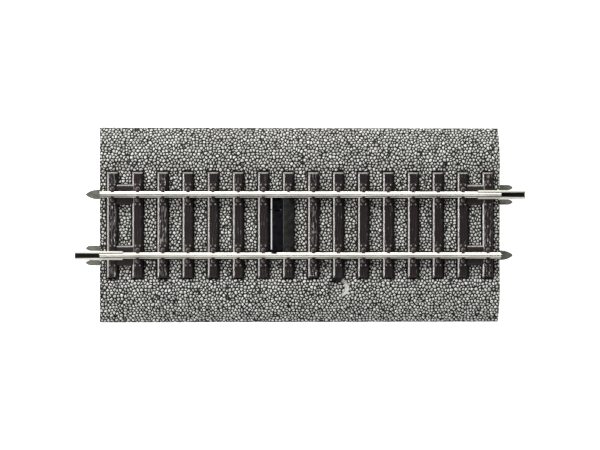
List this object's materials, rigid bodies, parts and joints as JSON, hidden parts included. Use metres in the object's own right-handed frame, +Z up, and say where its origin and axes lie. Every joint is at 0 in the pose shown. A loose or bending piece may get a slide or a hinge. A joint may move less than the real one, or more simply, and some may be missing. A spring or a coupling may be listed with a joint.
{
  "type": "model track section",
  "caption": "Straight ballasted two-rail model track section with rail joiners, bed tongues and a flange-operated contact lever between the rails.",
  "frame": {"origin": "middle of the bed's underside, on the table", "axes": "+X along the track towards the end whose back rail carries the joiner, +Y across the track, +Z up"},
  "size_m": [0.1292, 0.056, 0.0093],
  "materials": {
    "bed_plastic": "grey moulded ballast, matt",
    "sleeper_plastic": "dark brown with moulded wood grain",
    "rail_metal": "drawn nickel silver",
    "joiner_metal": "folded nickel silver sheet",
    "housing_plastic": "black moulding, matt",
    "lever_plastic": "black moulding, glossy",
    "screw_steel": "zinc-plated",
    "axle_steel": "bright pin",
    "spring_bronze": "rolled spring bronze",
    "contact_silver": "silver contact"
  },
  "bodies": {
    "track": {"ballast_bed": "bed_plastic", "sleeper_grid": "sleeper_plastic", "rail_front": "rail_metal", "rail_back": "rail_metal", "joiner_left": "joiner_metal", "joiner_right": "joiner_metal", "switch_housing": "housing_plastic", "housing_cover": "housing_plastic", "housing_screws": "screw_steel", "lever_axle": "axle_steel", "fixed_leaf": "spring_bronze", "fixed_contact_point": "contact_silver", "leaf_terminal": "spring_bronze"},
    "lever": {"contact_lever": "lever_plastic"},
    "leaf": {"moving_leaf": "spring_bronze", "moving_contact_point": "contact_silver"}
  },
  "joints": [
    {"name": "lever_press", "type": "hinge", "parent": "track", "child": "lever", "pos_m": [-0.00692, 0.006, 0.0054], "axis": [1, 0, 0], "range_deg": [0, 3.2], "stiffness_Nm_per_rad": 0.005, "springref_deg": -3.44},
    {"name": "leaf_bend", "type": "hinge", "parent": "track", "child": "leaf", "pos_m": [-0.00692, 0.003, 0.00451], "axis": [1, 0, 0], "range_deg": [0, 4.6]}
  ],
  "couplings": [
    {"joint": "leaf_bend", "follows": "lever_press", "ratio": 1.4}
  ]
}
